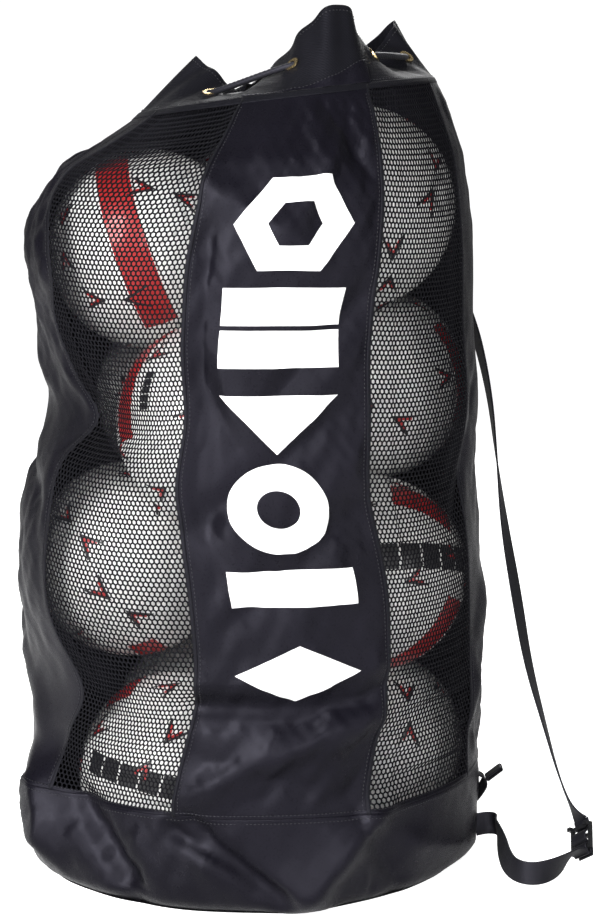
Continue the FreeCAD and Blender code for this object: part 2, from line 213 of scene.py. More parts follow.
# ---------------------------------------------------------------- materials
class Nodes:
    """A material's node tree, with short ways to add and join nodes."""

    def __init__(self, name):
        self.material = bpy.data.materials.new(name)
        self.material.use_nodes = True
        self.tree = self.material.node_tree
        self.shader = self.tree.nodes["Principled BSDF"]
        self.coordinates = self.add("ShaderNodeTexCoord").outputs["Object"]

    def add(self, kind, inputs=(), **settings):
        """A node, with its settings and its inputs by name or number."""
        node = self.tree.nodes.new(kind)
        for key, value in settings.items():
            setattr(node, key, value)
        for key, value in dict(inputs).items():
            self.put(node.inputs[key], value)
        return node

    def put(self, socket, value):
        """A value or another node's output into a socket."""
        if isinstance(value, bpy.types.NodeSocket):
            self.tree.links.new(value, socket)
        else:
            socket.default_value = value

    def noise(self, scale, detail=3.0):
        """Noise over the object."""
        inputs = {"Vector": self.coordinates, "Scale": scale, "Detail": detail}
        return self.add("ShaderNodeTexNoise", inputs).outputs["Fac"]

    def wave(self, direction, scale):
        """Parallel ridges across an axis."""
        inputs = {"Vector": self.coordinates, "Scale": scale}
        return self.add("ShaderNodeTexWave", inputs, bands_direction=direction).outputs["Fac"]

    def math(self, operation, a, b=0.0):
        """One sum or other operation."""
        return self.add("ShaderNodeMath", {0: a, 1: b}, operation=operation).outputs[0]

    def ramp(self, value, low, high, first, last):
        """A value from low to high turned into one from first to last."""
        return self.add("ShaderNodeMapRange", {
            "Value": value, "From Min": low, "From Max": high, "To Min": first, "To Max": last}).outputs[0]

    def mix(self, share, first, last):
        """A colour between two."""
        node = self.add("ShaderNodeMix", data_type="RGBA")
        self.put(node.inputs[0], share)
        self.put(node.inputs[6], first)
        self.put(node.inputs[7], last)
        return node.outputs[2]

    def tone_and_roughness(self, cloud, dark, light, fine, rough, spread):
        """A colour that drifts with one noise, and a roughness that varies with another."""
        share = self.ramp(cloud, 0.3, 0.7, 0.0, 1.0)
        self.put(self.shader.inputs["Base Color"], self.mix(share, (*dark, 1.0), (*light, 1.0)))
        varied = self.ramp(fine, 0.3, 0.7, rough - spread, rough + spread)
        self.put(self.shader.inputs["Roughness"], varied)

    def bump(self, height, distance, strength):
        """Relief on the shader from a height in units of distance."""
        node = self.add("ShaderNodeBump", {"Height": height, "Distance": distance, "Strength": strength})
        self.put(self.shader.inputs["Normal"], node.outputs[0])

    def set(self, **inputs):
        """The shader's own inputs; a colour is given as three numbers."""
        for key, value in inputs.items():
            if isinstance(value, tuple) and len(value) == 3:
                value = (*value, 1.0)
            self.put(self.shader.inputs[key.replace("_", " ")], value)
        return self.material


def cloth_material(name, dark, light, thread, rough, sheen, gloss, relief=0.00012):
    """Woven cloth: two thread directions in relief, with a cloudy tone and roughness."""
    n = Nodes(name)
    weave = n.math("MULTIPLY", n.wave("DIAGONAL", thread), n.wave("Z", thread * 1.3))
    cloud = n.noise(9.0, 4.0)
    fine = n.noise(420.0, 2.0)
    n.tone_and_roughness(cloud, dark, light, fine, rough, 0.06)
    n.bump(n.math("ADD", weave, n.math("MULTIPLY", fine, 0.6)), relief, 0.6)
    n.set(Sheen_Weight=sheen, Sheen_Roughness=0.4)
    return n.set(Specular_IOR_Level=gloss, Specular_Tint=(0.84, 0.82, 1.0))


def plain_material(name, colour, rough, grain, depth, **more):
    """A moulded or painted surface with a fine grain."""
    n = Nodes(name)
    speck = n.noise(grain, 3.0)
    n.tone_and_roughness(n.noise(14.0), [c * 0.92 for c in colour], colour, speck, rough, 0.05)
    n.bump(speck, depth, 0.5)
    return n.set(**more)


# Cloths: dark tone, light tone, fineness of the threads, roughness, sheen and gloss
NYLON = cloth_material("coated_nylon", (0.0022, 0.0020, 0.0034), (0.0042, 0.0038, 0.0062), 620.0, 0.31,
                       0.01, 0.115)
CANVAS = cloth_material("collar_canvas", (0.0024, 0.0024, 0.0034), (0.0045, 0.0045, 0.006), 150.0, 0.6,
                        0.02, 0.09, relief=0.0005)
NET = cloth_material("net_polyester", (0.0024, 0.0024, 0.003), (0.004, 0.004, 0.005), 900.0, 0.55, 0.01, 0.08)
BINDING = cloth_material("binding_tape", (0.003, 0.003, 0.004), (0.005, 0.005, 0.0065), 700.0, 0.5,
                         0.02, 0.12)
WEBBING = cloth_material("strap_webbing", (0.004, 0.004, 0.005), (0.008, 0.008, 0.010), 260.0, 0.5,
                         0.03, 0.15)
CORD = cloth_material("cord_polyester", (0.006, 0.006, 0.008), (0.012, 0.012, 0.015), 500.0, 0.5, 0.05, 0.2)
# Plain surfaces: colour, roughness, fineness of the grain and its depth
THREAD = plain_material("stitch_thread", (0.02, 0.02, 0.024), 0.5, 900.0, 0.0001)
PRINT = plain_material("white_print", (0.80, 0.80, 0.80), 0.42, 700.0, 0.00008)
BRASS = plain_material("eyelet_brass", (0.78, 0.60, 0.30), 0.25, 500.0, 0.00004, Metallic=1.0)
PLASTIC = plain_material("buckle_plastic", (0.010, 0.010, 0.011), 0.30, 600.0, 0.00004)
LEATHER = plain_material("ball_leather", (0.90, 0.89, 0.87), 0.38, 420.0, 0.00018, Coat_Weight=0.25)
BALL_RED = plain_material("ball_red", (0.44, 0.009, 0.009), 0.38, 420.0, 0.0001, Coat_Weight=0.25)
BALL_BLACK = plain_material("ball_black", (0.012, 0.012, 0.014), 0.40, 420.0, 0.0001, Coat_Weight=0.25)


# ---------------------------------------------------------------- camera, light and floor
ROOM_LIGHT = 0.16           # how strongly the white surroundings light the bag
CAMERA_PLACE = (0.057, -2.4, 0.80)
CAMERA_DOWN = 8.4           # degrees that it looks below the level
HALF_VIEW = 12.2            # half the angle that its longer side takes in, in degrees


def add_camera():
    """The camera, where the photographer stood: 2.4 m in front, a little above the bag's middle."""
    data = bpy.data.cameras.new("camera")
    data.sensor_width = 36.0
    data.lens = data.sensor_width / 2.0 / math.tan(math.radians(HALF_VIEW))
    camera = link("camera", data)
    camera.location = CAMERA_PLACE
    camera.rotation_euler = (math.radians(90.0 - CAMERA_DOWN), 0.0, 0.0)
    bpy.context.scene.camera = camera


def add_area(name, place, target, size, power):
    """A soft lamp aimed at a point."""
    data = bpy.data.lights.new(name, "AREA")
    data.shape = "RECTANGLE"
    data.size, data.size_y = size
    data.energy = power
    lamp = link(name, data)
    lamp.location = place
    lamp.rotation_euler = (Vector(target) - Vector(place)).to_track_quat("-Z", "Y").to_euler()


def seen_only(nodes, links, strength):
    """A strength that only what is looked at directly has."""
    path = nodes.new("ShaderNodeLightPath")
    times = nodes.new("ShaderNodeMath")
    times.operation = "MULTIPLY"
    times.inputs[1].default_value = strength
    links.new(path.outputs["Is Camera Ray"], times.inputs[0])
    return times.outputs[0]


def add_world():
    """White surroundings, which light the bag less than they show."""
    world = bpy.data.worlds.new("white_room")
    world.use_nodes = True
    nodes, links = world.node_tree.nodes, world.node_tree.links
    background = nodes["Background"]
    background.inputs["Color"].default_value = (1.0, 1.0, 1.0, 1.0)
    extra = nodes.new("ShaderNodeMath")
    extra.operation = "ADD"
    extra.inputs[1].default_value = ROOM_LIGHT
    links.new(seen_only(nodes, links, 1.1 - ROOM_LIGHT), extra.inputs[0])
    links.new(extra.outputs[0], background.inputs["Strength"])
    bpy.context.scene.world = world


def add_studio():
    """A white room with a pale floor and soft lamps, shown in plain display colours."""
    bpy.context.scene.view_settings.view_transform = "Standard"
    add_world()
    add_area("key_left", (-1.9, -2.4, 1.9), (0.0, 0.0, 0.5), (1.1, 1.7), 215.0)
    add_area("fill_right", (2.3, -2.2, 1.0), (0.0, 0.0, 0.45), (0.8, 1.6), 31.0)
    add_area("front", (0.2, -3.4, 1.6), (0.0, 0.0, 0.45), (1.4, 1.4), 95.0)
    add_area("behind", (0.4, 2.6, 2.2), (0.0, 0.0, 0.4), (1.6, 1.4), 60.0)
    floor = Nodes("floor_paint")
    glow = seen_only(floor.tree.nodes, floor.tree.links, 0.9)
    floor.put(floor.shader.inputs["Emission Strength"], glow)
    grain = floor.noise(30.0)
    floor.put(floor.shader.inputs["Roughness"], floor.ramp(grain, 0.3, 0.7, 0.75, 0.85))
    floor.set(Base_Color=(0.86, 0.86, 0.86), Emission_Color=(1.0, 1.0, 1.0))
    mesh = bpy.data.meshes.new("floor")
    mesh.from_pydata([(-6, -6, 0), (6, -6, 0), (6, 6, 0), (-6, 6, 0)], [], [(0, 1, 2, 3)])
    mesh.materials.append(floor.material)
    link("floor", mesh)


# ---------------------------------------------------------------- cords
def route_line(points, resolution=24):
    """Points along the smooth NURBS curve of a route, or of any vectors that change along it."""
    curve = bpy.data.curves.new("route", "CURVE")
    curve.dimensions = "3D"
    spline = curve.splines.new("NURBS")
    spline.points.add(len(points) - 1)
    for knot, place in zip(spline.points, points):
        knot.co = (*place, 1.0)
    spline.order_u = 3
    spline.use_endpoint_u = True
    spline.resolution_u = resolution
    holder = link("route", curve)
    bpy.context.view_layer.update()
    mesh = bpy.data.meshes.new_from_object(holder.evaluated_get(bpy.context.evaluated_depsgraph_get()))
    line = np.array([v.co for v in mesh.vertices], float)
    bpy.data.objects.remove(holder)
    return line


def run_along(line):
    """How far along a line each of its points is."""
    return np.concatenate([[0.0], np.cumsum(np.linalg.norm(np.diff(line, axis=0), axis=1))])


def at_places(places, run, field):
    """The values that a field has at places along a line."""
    return np.stack([np.interp(places, run, field[:, k]) for k in range(3)], -1)


def tangents(line):
    """The direction of travel at each point of a line."""
    return unit(np.gradient(line, axis=0))


def sweep(name, rings, material, body, slot):
    """A closed section carried along a line, as rings of points, with a cap at each end."""
    rows, count = rings.shape[:2]
    faces = grid_faces(rows, count, wrap=True).tolist()
    faces += [list(range(count))[::-1], [(rows - 1) * count + i for i in range(count)]]
    return new_object(name, rings, faces, material, body, slot)


def webbing(name, line, across, body, width=WEBBING_WIDTH):
    """Webbing along a line, with its width across, given at each point or once."""
    forward = tangents(line)
    across = np.broadcast_to(across, line.shape)
    across = unit(across - forward * (across * forward).sum(1, keepdims=True))
    face = np.cross(forward, across)
    outline = np.array(webbing_outline(width))
    rings = line[:, None] + across[:, None] * outline[None, :, :1] + face[:, None] * outline[None, :, 1:]
    return sweep(name, rings, WEBBING, body, "webbing")


def webbing_outline(width):
    """Section of woven webbing: flat faces with fine ribs, and rounded selvages."""
    ribs = 26
    rib_depth = 0.00022
    round_edge = WEBBING_THICKNESS / 2.0
    half = width / 2.0 - round_edge
    top = [(-half + 2.0 * half * i / ribs, round_edge - (rib_depth if i % 2 else 0.0))
           for i in range(ribs + 1)]
    edge = [(half + round_edge * math.cos(t), round_edge * math.sin(t)) for t in (0.9, 0.0, -0.9)]
    return top + edge + [(x, -y) for x, y in reversed(top)] + [(-x, -y) for x, y in edge]


def buckle_axes():
    """Webbing direction and bar direction of the ladder lock."""
    bars = unit(BUCKLE_BARS)
    end = np.array(UPPER_ROUTE[-1], float) - np.array(LOWER_ROUTE[-1], float)
    along = unit(end - bars * (bars @ end))
    return along, bars


def swing_axis():
    """The direction of the line that the whole strap swings about."""
    return unit(np.array(STRAP_TOP, float) - np.array(STRAP_BOTTOM, float))


def level(degrees):
    """The level direction at an azimuth."""
    return math.cos(math.radians(degrees)), math.sin(math.radians(degrees)), 0.0


def add_strap():
    """The shoulder strap's two lengths of webbing, each with its fold through the lock."""
    along, bars = buckle_axes()
    swing = swing_axis()
    lean = unit(swing + np.array((0.45, 0.0, 0.0)))
    upper_widths = [level(t) for t in UPPER_TURNS] + [bars]
    lower_widths = [swing, lean, lean, unit(swing + lean), swing]
    lower_widths += [unit(swing - bars * 0.3), unit(swing - bars), -bars, -bars]
    centre = np.array(BUCKLE_CENTRE, float)
    upper = UPPER_ROUTE + [centre + along * BUCKLE_END]
    lower = LOWER_ROUTE + [centre - along * BUCKLE_END]
    for name, route, widths, turns in (("strap_upper", upper, upper_widths, LOCK_UPPER),
                                       ("strap_lower", lower, lower_widths, LOCK_LOWER)):
        line = route_line(metres(route))
        piece = webbing(name + "_webbing", line, route_line(widths), "shoulder_strap")
        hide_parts(name)
        fold = lock_fold(name + "_fold", turns)


def lock_fold(name, turns):
    """Webbing from a strap's end through the lock, which bends between the strap and the lock."""
    along, bars = buckle_axes()
    normal = np.cross(along, bars)
    centre = np.array(BUCKLE_CENTRE, float)
    line = route_line(metres([centre + along * a + normal * n for a, n in turns]), 12)
    piece = webbing(name, line, bars, None)
    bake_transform(piece)
    return piece


# ---------------------------------------------------------------- the body's skin
def section(height):
    """The CAD's body section at a height in millimetres, on its smooth cubic."""
    index = max(i for i, s in enumerate(SECTIONS[:-1]) if s[0] <= height)
    low, high = np.array(SECTIONS[index], float), np.array(SECTIONS[index + 1], float)
    before = np.array(SECTIONS[max(index - 1, 0)], float)
    after = np.array(SECTIONS[min(index + 2, len(SECTIONS) - 1)], float)
    step = high[0] - low[0]
    t = (height - low[0]) / step
    slope_low = (high - before) / (high[0] - before[0]) * step
    slope_high = (after - low) / (after[0] - low[0]) * step
    rise = high - low
    bend = (slope_low + slope_high - 2.0 * rise) * t + 3.0 * rise - 2.0 * slope_low - slope_high
    made = low + t * (slope_low + t * bend)
    made[0] = height
    return made


def ring_points(height, turns):
    """Points of the CAD's skin at a height in metres, at azimuths in radians."""
    z, cx, cy, half_width, half_depth, slope = section(min(height / MM, SECTIONS[-1][0]))
    x = half_width * np.cos(turns)
    y = half_depth * np.sin(turns)
    return np.stack([cx + x, cy + y, z + slope * x], -1) * MM


NYLON_THICKNESS = 0.0011
MOST_OUT = 0.026            # how far the cloth may stand out of the CAD's skin
ROWS = 123                  # rows of the skin, from the floor to the collar seam
COLUMNS = 240               # columns round it
ROW_STEP = COLLAR_BOTTOM / (ROWS - 1)
TURN_STEP = 360.0 / COLUMNS
COLUMN_TURNS = np.radians(np.arange(COLUMNS) * TURN_STEP)
ROW_HEIGHTS = np.arange(ROWS) * ROW_STEP

# Folds and creases: from (azimuth, height) to (azimuth, height), half width and rise in metres
FOLDS = [
    (-104, 0.088, -82, 0.026, 0.009, -0.015), (-96, 0.060, -74, 0.020, 0.014, 0.012),
    (-56, 0.100, -76, 0.026, 0.020, 0.014), (-62, 0.112, -52, 0.030, 0.014, -0.009),
    (-45, 0.060, -20, 0.030, 0.016, 0.009), (-122, 0.030, -138, 0.112, 0.018, -0.012),
    (-158, 0.104, -148, 0.060, 0.018, 0.016), (-150, 0.150, -164, 0.080, 0.014, -0.012),
    (-105, 0.226, -64, 0.226, 0.009, -0.015), (-64, 0.216, -98, 0.140, 0.016, 0.015),
    (-100, 0.250, -66, 0.262, 0.018, 0.009), (-70, 0.520, -100, 0.420, 0.016, -0.009),
    (-66, 0.420, -92, 0.330, 0.018, -0.010), (-64, 0.640, -80, 0.560, 0.014, -0.010),
    (-103, 0.760, -78, 0.700, 0.014, 0.010), (-72, 0.800, -84, 0.700, 0.012, 0.009),
    (-101, 0.700, -99, 0.360, 0.014, -0.009),
    (180, 0.700, 176, 0.560, 0.014, -0.012), (176, 0.420, 184, 0.300, 0.016, -0.012),
    (168, 0.640, 160, 0.480, 0.018, 0.010), (165, 0.330, 176, 0.180, 0.016, 0.010),
    (150, 0.800, 140, 0.600, 0.014, -0.012), (120, 0.820, 112, 0.560, 0.016, -0.014),
    (92, 0.830, 96, 0.520, 0.018, -0.014), (60, 0.820, 66, 0.600, 0.014, -0.012),
    (30, 0.760, 36, 0.520, 0.016, -0.012), (110, 0.440, 90, 0.240, 0.020, -0.014),
    (60, 0.460, 74, 0.260, 0.018, 0.012), (136, 0.400, 130, 0.180, 0.018, -0.012),
    (30, 0.300, 44, 0.140, 0.016, -0.010), (100, 0.110, 118, 0.030, 0.014, -0.009),
    (60, 0.108, 44, 0.034, 0.014, -0.009), (150, 0.108, 164, 0.034, 0.014, -0.010),
    (8, 0.104, -4, 0.034, 0.014, -0.008), (-10, 0.140, -40, 0.200, 0.020, -0.006),
    (-153, 0.102, -150, 0.076, 0.024, 0.034), (-134, 0.100, -120, 0.040, 0.012, -0.018),
    (-100, 0.100, -84, 0.030, 0.008, -0.012), (-58, 0.100, -74, 0.034, 0.010, 0.014),
    (-103, 0.208, -80, 0.212, 0.007, -0.009), (-80, 0.212, -61, 0.240, 0.007, -0.008),
    (-62, 0.204, -84, 0.176, 0.012, 0.012), (-98, 0.168, -76, 0.140, 0.010, -0.007),
    (-190, 0.760, -176, 0.800, 0.008, 0.008), (-186, 0.620, -170, 0.560, 0.016, 0.010),
    (-184, 0.480, -160, 0.430, 0.020, -0.010), (-178, 0.260, -160, 0.180, 0.018, 0.012),
    (-64, 0.780, -74, 0.830, 0.010, -0.007), (-100, 0.560, -92, 0.500, 0.012, -0.006),
    (-20, 0.180, -10, 0.300, 0.016, 0.010), (-26, 0.420, -14, 0.520, 0.018, -0.009),
]


# How the left side seam strays round the body: height, degrees, half height
LEFT_STRAY = [(0.52, 11.0, 0.035), (0.225, 10.0, 0.05), (0.775, -11.0, 0.05), (0.62, -4.0, 0.03)]


def stray(turn, height):
    """Degrees by which the upright seams wander from straight, with the cloth beside them."""
    front = -3.8 * np.sin(2.0 * math.pi * (height - 0.42) / 0.44)
    beside = apart(turn, -82.0) / 46.0
    left = sum(d * np.exp(-((height - h) / half) ** 2) for h, d, half in LEFT_STRAY)
    near_left = apart(turn, 214.0) / 22.0
    body = np.clip((height - 0.02) / 0.08, 0.0, 1.0) * np.clip((COLLAR_BOTTOM - height) / 0.03, 0.0, 1.0)
    return (front * np.exp(-beside ** 4) + left * np.exp(-near_left ** 2)) * body


def fold_offset():
    """How far the listed folds push each point of the skin outwards."""
    turn, height = np.meshgrid(np.degrees(COLUMN_TURNS), ROW_HEIGHTS)
    total = np.zeros_like(turn)
    for a0, h0, a1, h1, half, rise in FOLDS:
        x = apart(turn, a0) * ARC
        y = height - h0
        dx = (a1 - a0) * ARC
        dy = h1 - h0
        long = math.hypot(dx, dy)
        along = (x * dx + y * dy) / long
        aside = (x * dy - y * dx) / long
        past = np.maximum(np.maximum(-along, along - long), 0.0)
        total += rise * np.exp(-(np.abs(aside) / half) ** 1.4) * np.exp(-(past / (1.8 * half)) ** 2)
    return total


def near(azimuth, width):
    """1 on the columns at an azimuth, falling to 0 over a width in degrees."""
    return np.exp(-(apart(np.degrees(COLUMN_TURNS), azimuth) / width) ** 2)


def panel_turns(name):
    """The azimuths between which a panel lies."""
    index = [panel for _, _, panel in UPRIGHTS].index(name)
    start, end = UPRIGHTS[index][1], UPRIGHTS[(index + 1) % len(UPRIGHTS)][1]
    return start, end + (360.0 if end < start else 0.0)


def inside_panel(name):
    """Which columns of the skin lie on a panel."""
    start, end = panel_turns(name)
    return (np.degrees(COLUMN_TURNS) - start) % 360.0 < end - start


def skin_normals(points):
    """The outward direction at every point of the skin."""
    round_step = np.roll(points, -1, axis=1) - np.roll(points, 1, axis=1)
    up_step = np.gradient(points, axis=0)
    return unit(np.cross(round_step, up_step))


def gaps(points, shift_rows, shift_columns):
    """From each point to the one a given step away."""
    return np.roll(points, -shift_columns, axis=1)[shift_rows:] - points[:len(points) - shift_rows]


def lengths(points, shift_rows, shift_columns):
    """Distances between points a given step apart."""
    return np.linalg.norm(gaps(points, shift_rows, shift_columns), axis=-1, keepdims=True)


def pull(points, rest, shift_rows, shift_columns, strength):
    """How pairs of points a given step apart move towards their rest length."""
    gap = gaps(points, shift_rows, shift_columns)
    length = np.linalg.norm(gap, axis=-1, keepdims=True)
    move = gap * (0.5 * strength * (1.0 - rest / np.maximum(length, 1e-9)))
    change = np.zeros_like(points)
    change[:len(points) - shift_rows] += move
    change[shift_rows:] -= np.roll(move, shift_columns, axis=1)
    return change


# Springs between points of the cloth: rows apart, columns apart, strength
SPRINGS = [(0, 1, 0.8), (1, 0, 0.8), (1, 1, 0.35), (1, -1, 0.35), (0, 5, 0.25), (5, 0, 0.25)]
NET_DRAWN = 0.955           # the net's length round the body, as a share of the CAD's
NYLON_SLACK = 1.012         # the nylon's, in the same way
UPRIGHT_SLACK = 1.004       # all cloth's length up the body
SAG = 0.00003               # metres that the cloth sinks in each step
BALL_CLEAR = 0.0022         # from a ball's surface to the skin
# How firmly each step keeps a point in place: on a seam, on a net, on nylon, on the cup, and at most
SEAM_HOLD, NET_HOLD, NYLON_HOLD, CUP_HOLD, MOST_HOLD = 0.25, 0.004, 0.06, 0.35, 0.6
FOOT = 0.012                # the cup is fixed below this height


def cloth_springs(base, net, high):
    """The cloth's springs with their rest lengths, which draw the net tighter than the nylon."""
    shrink = np.where(net & high, NET_DRAWN, NYLON_SLACK)
    springs = []
    for rows, columns, strength in SPRINGS:
        rest = lengths(base, rows, columns)
        rest = rest * (shrink[:len(rest)] if rows == 0 else UPRIGHT_SLACK)
        springs.append((rest, rows, columns, strength))
    return springs


def cloth_hold(net, high):
    """How firmly each point is kept where the folds put it: most at the seams and both ends."""
    hold = sum(SEAM_HOLD * near(turn, 1.6) for _, turn, _ in UPRIGHTS)
    hold = np.repeat(hold[None, :, None], ROWS, axis=0)
    hold = hold + np.where(high, np.where(net, NET_HOLD, NYLON_HOLD), CUP_HOLD)
    hold = np.minimum(hold, MOST_HOLD)
    hold[ROW_HEIGHTS < FOOT] = 1.0
    hold[-1] = 1.0
    return hold


def off_balls(points):
    """The points, with those inside a ball moved out of it."""
    clear = BALL_RADIUS + BALL_CLEAR
    for centre in metres(BALL_PLACES):
        away = points - centre
        far = np.linalg.norm(away, axis=-1, keepdims=True)
        points = np.where(far < clear, centre + away / far * clear, points)
    return points


def relax_skin(steps):
    """The skin as cloth: held at its seams, pulled in over the balls, and sagging a little."""
    degrees = np.degrees(COLUMN_TURNS)
    base = np.stack([ring_points(h, np.radians(degrees + stray(degrees, h))) for h in ROW_HEIGHTS])
    outward = skin_normals(base)
    target = base + outward * fold_offset()[..., None]
    target[..., 2] = np.maximum(target[..., 2], 0.0015)
    net = (inside_panel("net_left") | inside_panel("net_right"))[None, :, None]
    high = (ROW_HEIGHTS > CUP_SEAM_TOP)[:, None, None]
    springs = cloth_springs(base, net, high)
    hold = cloth_hold(net, high)
    points = target.copy()
    for _ in range(steps):
        points = points + (target - points) * hold
        points[1:-1, :, 2] -= SAG
        for rest, rows, columns, strength in springs:
            points = points + pull(points, rest, rows, columns, strength)
        points = off_balls(points)
        points[..., 2] = np.maximum(points[..., 2], 0.0012)
    points[-1] = base[-1]
    out = ((points - base) * outward).sum(-1, keepdims=True)
    return points - outward * np.maximum(out - MOST_OUT, 0.0)


class Skin:
    """The relaxed skin, which gives a point and outward normal at any azimuth and height."""

    def __init__(self, points):
        self.points = points
        self.normals = skin_normals(points)

    def sample(self, field, turn, height):
        """A field's smooth value at azimuths in degrees and heights in metres."""
        column = (np.asarray(turn, float) % 360.0) / TURN_STEP
        row = np.clip(np.asarray(height, float) / ROW_STEP, 0.0, ROWS - 1.000001)
        c0, r0 = np.floor(column).astype(int), np.floor(row).astype(int)
        weights_c = self.weights(column - c0)
        weights_r = self.weights(row - r0)
        total = 0.0
        for i in range(4):
            rows = np.clip(r0 - 1 + i, 0, ROWS - 1)
            for j in range(4):
                share = (weights_r[i] * weights_c[j])[..., None]
                total = total + share * field[rows, (c0 - 1 + j) % COLUMNS]
        return total

    @staticmethod
    def weights(t):
        """Catmull-Rom weights."""
        return [
            ((-0.5 * t + 1.0) * t - 0.5) * t, (1.5 * t - 2.5) * t * t + 1.0,
            ((-1.5 * t + 2.0) * t + 0.5) * t, (0.5 * t - 0.5) * t * t,
        ]

    def point(self, turn, height, out):
        """One point, a distance out from the skin."""
        return self.at(np.array([turn]), np.array([height]), np.array([out]))[0]

    def at(self, turn, height, out=0.0):
        """Points of the skin, or a distance out from it."""
        place = self.sample(self.points, turn, height)
        return place + unit(self.sample(self.normals, turn, height)) * np.asarray(out, float)[..., None]


# Wrinkles of the nylon: distance apart in metres, slope, and start
WRINKLES = [
    (0.105, -0.6, 3.0), (0.070, 0.5, 0.0), (0.047, -0.9, 1.7), (0.031, 0.3, 4.1),
    (0.023, -0.4, 2.2), (0.017, 0.8, 5.0),
]
WRINKLE_DEPTH = 0.015       # as a share of their distance apart


def crumple(turn, height):
    """Small soft wrinkles of coated nylon, in metres."""
    x = np.radians(turn) * BODY_RADIUS
    total = 0.0
    for wave, lean, phase in WRINKLES:
        bend = 1.4 * np.sin(height / 0.090 + phase) + 1.1 * np.sin(x / 0.075 - phase)
        across = 2.0 * math.pi * (x + lean * height) / wave
        total = total + wave * WRINKLE_DEPTH * np.sin(across + phase + bend)
    patch = np.sin(height / 0.055 + 2.1 * np.sin(x / 0.11)) + np.sin(x / 0.060 + 1.7 * np.sin(height / 0.13))
    return total * (0.65 + 0.32 * patch)


def cloth_patch(name, skin, start, end, low, high, step):
    """A piece of nylon cut from the skin between two azimuths and two heights."""
    columns = max(3, int((end - start) * math.radians(1.0) * BODY_RADIUS / step) + 1)
    rows = max(3, int((high - low) / step) + 1)
    turn, height = np.meshgrid(np.linspace(start, end, columns), np.linspace(low, high, rows))
    closed = abs(end - start - 360.0) < 1e-6
    inner = np.clip((height - low) / 0.02, 0.0, 1.0) * np.clip((high - height) / 0.02, 0.0, 1.0)
    if not closed:
        inner = inner * np.clip((turn - start) / 3.0, 0.0, 1.0) * np.clip((end - turn) / 3.0, 0.0, 1.0)
    around = crumple(np.where(closed & (turn > 300.0), turn - 360.0, turn), height)
    verts = skin.at(turn, height, inner * around)
    if closed:
        verts = verts[:, :-1]
    obj = new_object(name, verts, grid_faces(rows, verts.shape[1], closed), NYLON, slot="nylon")
    solidify(obj, NYLON_THICKNESS)
    return obj


# ---------------------------------------------------------------- nets
NET_PITCH = 0.0057
NET_STRAND = 0.28           # share of a cell's radius that the strand takes
STRAND_EDGE = 0.0006        # how far out of the skin a strand's middle stands
HOLE_EDGE = 0.0001          # and its edge beside a hole
STRAND_BACK = -0.0008       # and the back of that edge


def net_cells(start, end, low, high):
    """Centres of a honeycomb's cells, as (azimuth, height), and the cells' step in both."""
    turn_pitch = NET_PITCH / ARC
    row_pitch = NET_PITCH * math.sqrt(3.0) / 2.0
    columns = int((end - start) / turn_pitch) + 2
    rows = int((high - low) / row_pitch) + 2
    i, j = np.meshgrid(np.arange(columns), np.arange(rows))
    turn = start + (i + 0.5 * (j % 2)) * turn_pitch
    height = low + j * row_pitch
    return turn.ravel(), height.ravel(), turn_pitch, row_pitch


def net_patch(name, skin, start, end, low, high):
    """A knitted net: honeycomb cells, each a frame of strand round an open hole."""
    turn, height, turn_pitch, row_pitch = net_cells(start, end, low, high)
    corners = np.radians(30.0 + 60.0 * np.arange(6))
    reach = 1.0 / math.sqrt(3.0)
    rings = []
    for size, out in ((1.0, STRAND_EDGE), (1.0 - NET_STRAND, HOLE_EDGE), (1.0 - NET_STRAND, STRAND_BACK)):
        ring_turn = np.clip(turn[:, None] + np.cos(corners) * reach * turn_pitch * size, start, end)
        ring_height = np.clip(height[:, None] + np.sin(corners) * reach * NET_PITCH * size, low, high)
        rings.append(skin.at(ring_turn, ring_height, np.full(ring_turn.shape, out)))
    k = np.arange(6)
    after = (k + 1) % 6
    local = np.concatenate([np.stack([k, after, 6 + after, 6 + k], -1),
                            np.stack([6 + k, 6 + after, 12 + after, 12 + k], -1)])
    faces = (np.arange(len(turn)) * 18)[:, None, None] + local[None]
    keep = (turn > start - turn_pitch * 0.4) & (turn < end + turn_pitch * 0.4)
    keep = keep & (height < high + row_pitch * 0.4)
    obj = new_object(name, np.concatenate(rings, axis=1), faces[keep].reshape(-1, 4), NET, slot="net")
    merge_close(obj, 0.00002)
    return obj


def merge_close(obj, distance):
    """Joins vertices that share a place, and drops loose ones."""
    with editing(obj.data) as made:
        bmesh.ops.delete(made, geom=[v for v in made.verts if not v.link_faces], context="VERTS")
        bmesh.ops.remove_doubles(made, verts=made.verts, dist=distance)
        bmesh.ops.dissolve_degenerate(made, edges=made.edges, dist=distance)


def add_body(skin):
    """Panels, nets and cup, each cut from the skin, with the nylon and nets of the CAD's nodes."""
    for _, _, name in UPRIGHTS:
        start, end = panel_turns(name)
        if name.startswith("net"):
            piece = net_patch(name + "_mesh", skin, start, end, CUP_LINE, BODY_TOP)
        else:
            step = 0.0026 if name == "front_panel" else 0.0042
            piece = cloth_patch(name + "_nylon", skin, start, end, CUP_LINE, BODY_TOP + 0.002, step)
        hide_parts(name)
    cup = cloth_patch("base_cup_nylon", skin, 0.0, 360.0, 0.002, CUP_LINE, 0.004)
    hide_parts("base_cup")


TAPE_HALF = 0.5             # half the width of a tape up a seam, in degrees
ACROSS = np.linspace(-1.0, 1.0, 7)              # places across a tape
TAPE_RISE = 0.0006 * (1.0 - ACROSS ** 4)        # how far it stands up there
ROUND_TURNS = np.arange(0.0, 360.0, 0.8)


def add_tape(node, points, wrap, material, thickness):
    """A folded tape over a grid of points, in the place of a seam."""
    obj = new_object(node + "_tape", points, grid_faces(*points.shape[:2], wrap), material, slot="binding")
    solidify(obj, thickness)
    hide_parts(node)


